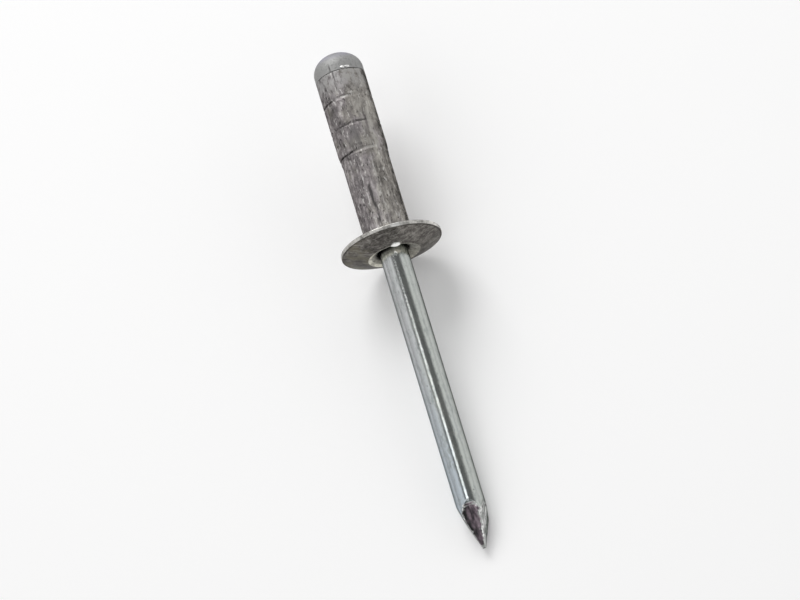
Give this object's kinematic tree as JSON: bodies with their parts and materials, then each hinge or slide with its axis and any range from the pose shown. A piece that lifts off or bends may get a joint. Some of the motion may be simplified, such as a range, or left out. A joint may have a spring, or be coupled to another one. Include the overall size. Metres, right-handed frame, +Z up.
{
  "type": "blind rivet",
  "caption": "Multi-grip blind rivet: grooved aluminium body with a domed flange on a steel mandrel with a pinched point, lying on its side.",
  "frame": {"origin": "on the floor, midway between the head's apex and the point's end", "axes": "+X along the rivet as it lies, towards the mandrel's point; +Z up from the floor; the rivet's own axis dips 7.54 degrees towards the point"},
  "size_m": [0.051, 0.0098, 0.0098],
  "materials": {
    "rivet_body": "dull, drawn and rolled",
    "mandrel": "bright zinc plate"
  },
  "bodies": {
    "root": {"rivet_body": "rivet_body", "mandrel": "mandrel"}
  },
  "joints": []
}
